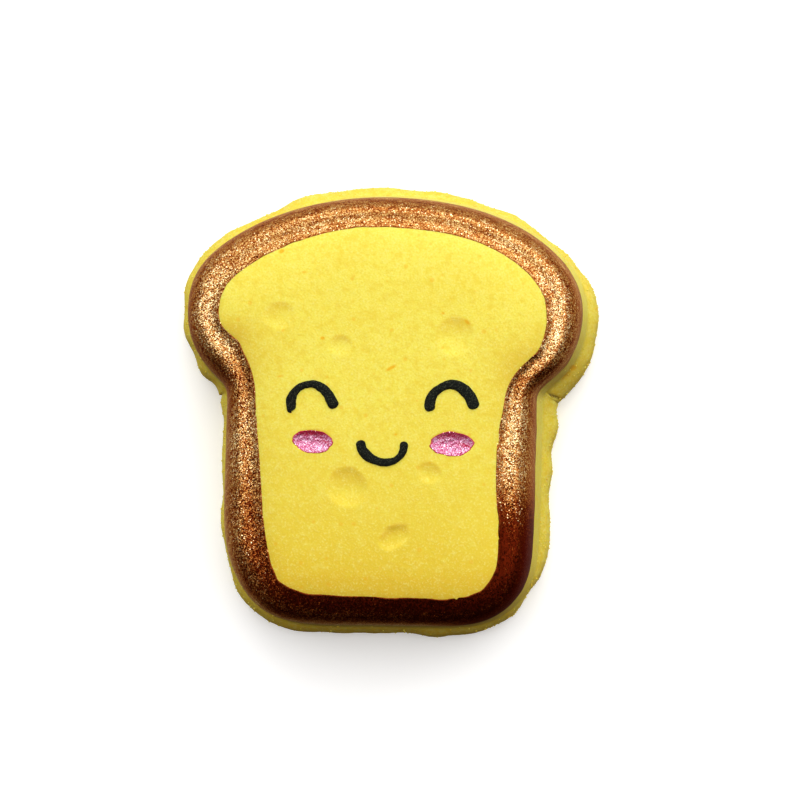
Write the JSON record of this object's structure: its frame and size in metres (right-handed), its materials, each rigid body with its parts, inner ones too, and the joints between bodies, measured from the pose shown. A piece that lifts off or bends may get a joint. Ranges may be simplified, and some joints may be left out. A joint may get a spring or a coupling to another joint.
{
  "type": "toast-shaped bath bomb",
  "caption": "Pressed powder bath bomb in the shape of a slice of toast, with a painted crust, a smiling face with blushing cheeks, shallow dimples and a rough back edge.",
  "frame": {"origin": "middle of the object's box, on the surface that it lies on", "axes": "+Z out of the painted face, +Y towards the crown of the slice, +X to the right of the face as it is seen"},
  "size_m": [0.0726, 0.0786, 0.025],
  "materials": {
    "yellow_powder": "matt, dyed pressed powder with a fine grain and small orange specks, crumbly on the back edge",
    "copper_paint": "hand-brushed copper mica paint with fine glints",
    "black_paint": "matt black paint with a fine grain",
    "pink_paint": "pink mica paint with fine glints"
  },
  "bodies": {
    "root": {"toast": "yellow_powder"}
  },
  "joints": []
}
